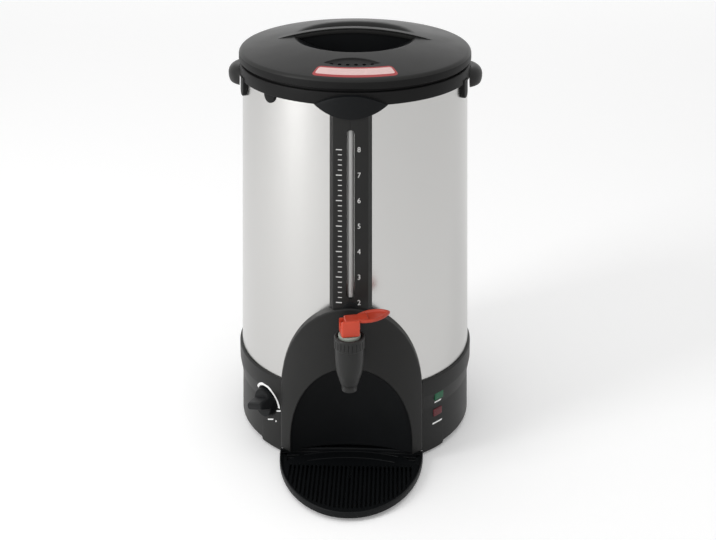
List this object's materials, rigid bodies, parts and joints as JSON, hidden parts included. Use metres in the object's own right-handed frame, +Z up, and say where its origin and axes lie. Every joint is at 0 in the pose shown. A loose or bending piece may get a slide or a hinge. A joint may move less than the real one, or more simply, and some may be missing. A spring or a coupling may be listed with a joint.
{
  "type": "hot water urn",
  "caption": "Upright steel water urn with a lift-off domed lid, side handles, sight gauge, lever tap over a cup niche, control knob, lamps and a pull-out drip tray.",
  "frame": {"origin": "middle of the whole footprint, drip tray included, on the table", "axes": "+Z up along the tank; -Y towards the front, where the tap and the drip tray are"},
  "size_m": [0.2604, 0.319, 0.3865],
  "materials": {
    "black_plastic": "satin moulded plastic",
    "dark_plastic": "matt moulded plastic",
    "tap_plastic": "satin moulded plastic",
    "steel_wall": "satin stainless sheet",
    "fastener_steel": "turned stainless",
    "red_plastic": "semi-gloss moulded plastic",
    "silicone": "soft silicone",
    "dark_rubber": "matt rubber",
    "washer_plastic": "pale nylon",
    "clear_tube": "clear tube",
    "pale_strip": "smooth printed strip, blank",
    "green_lens": "moulded lens",
    "red_lens": "moulded lens",
    "pale_plastic": "heat-proof moulding",
    "heater_metal": "cast plate",
    "element_metal": "heat-tinted sheath",
    "switch_body": "brown moulding",
    "nut_brass": "plain"
  },
  "bodies": {
    "urn": {"collar": "black_plastic", "handle_left": "black_plastic", "handle_right": "black_plastic", "handle_screws": "fastener_steel", "tank_wall": "steel_wall", "tank_floor": "steel_wall", "gauge_panel": "black_plastic", "badge_plate": "dark_plastic", "sight_tube": "clear_tube", "tube_seal": "silicone", "gauge_elbow": "dark_plastic", "gauge_washer": "silicone", "gauge_nut": "dark_plastic", "tap_shroud": "black_plastic", "niche_liner": "dark_plastic", "tap_body": "tap_plastic", "tap_bonnet": "tap_plastic", "tap_washer": "washer_plastic", "tap_gasket": "dark_rubber", "tap_seal": "silicone", "tap_nut": "dark_plastic", "base_skirt": "black_plastic", "base_plate": "dark_plastic", "base_feet": "dark_rubber", "base_screws": "fastener_steel", "heat_plate": "heater_metal", "heating_ring": "element_metal", "cutout_switch": "switch_body", "thermostat": "switch_body", "thermostat_nut": "nut_brass", "lamp_green": "green_lens", "lamp_red": "red_lens", "lamp_holder": "pale_plastic", "terminal_block": "pale_plastic", "cable_gland": "dark_plastic", "gland_nut": "dark_plastic"},
    "lid": {"lid_shell": "black_plastic", "lid_liner": "dark_plastic", "lid_seal": "silicone", "lid_screws": "fastener_steel", "lid_strip": "pale_strip"},
    "tap_head": {"handle_block": "red_plastic", "lever_pin": "fastener_steel"},
    "lever": {"tap_lever": "red_plastic"},
    "stem": {"tap_stem": "fastener_steel", "tap_seat_cup": "silicone", "tap_spring": "fastener_steel"},
    "dial": {"knob": "dark_plastic", "thermostat_spindle": "fastener_steel"},
    "tray": {"drip_tray": "dark_plastic"},
    "grate": {"drip_grate": "dark_plastic"}
  },
  "joints": [
    {"name": "lid_lift", "type": "slide", "parent": "urn", "child": "lid", "axis": [0, 0, 1], "range_m": [0, 0.15]},
    {"name": "tap_swivel", "type": "hinge", "parent": "urn", "child": "tap_head", "pos_m": [0, -0.1115, 0.145], "axis": [0, 0, 1], "range_deg": [-180, 0]},
    {"name": "lever_press", "type": "hinge", "parent": "tap_head", "child": "lever", "pos_m": [0.00636, -0.11015, 0.15135], "axis": [-0.2079, 0.9781, 0], "range_deg": [0, 20], "stiffness_Nm_per_rad": 0.06, "springref_deg": -20.05},
    {"name": "stem_lift", "type": "slide", "parent": "tap_head", "child": "stem", "axis": [0, 0, 1], "range_m": [0, 0.003], "deforming": ["tap_spring"]},
    {"name": "thermostat_turn", "type": "hinge", "parent": "urn", "child": "dial", "pos_m": [-0.08272, -0.04139, 0.0433], "axis": [-0.7193, -0.6947, 0], "range_deg": [0, 265]},
    {"name": "tray_slide", "type": "slide", "parent": "urn", "child": "tray", "axis": [0, -1, 0], "range_m": [0, 0.12]},
    {"name": "grate_lift", "type": "slide", "parent": "tray", "child": "grate", "axis": [0, 0, 1], "range_m": [0, 0.03]}
  ],
  "couplings": [
    {"joint": "lever_press", "follows": "stem_lift", "rad_per_m": 116.28}
  ]
}
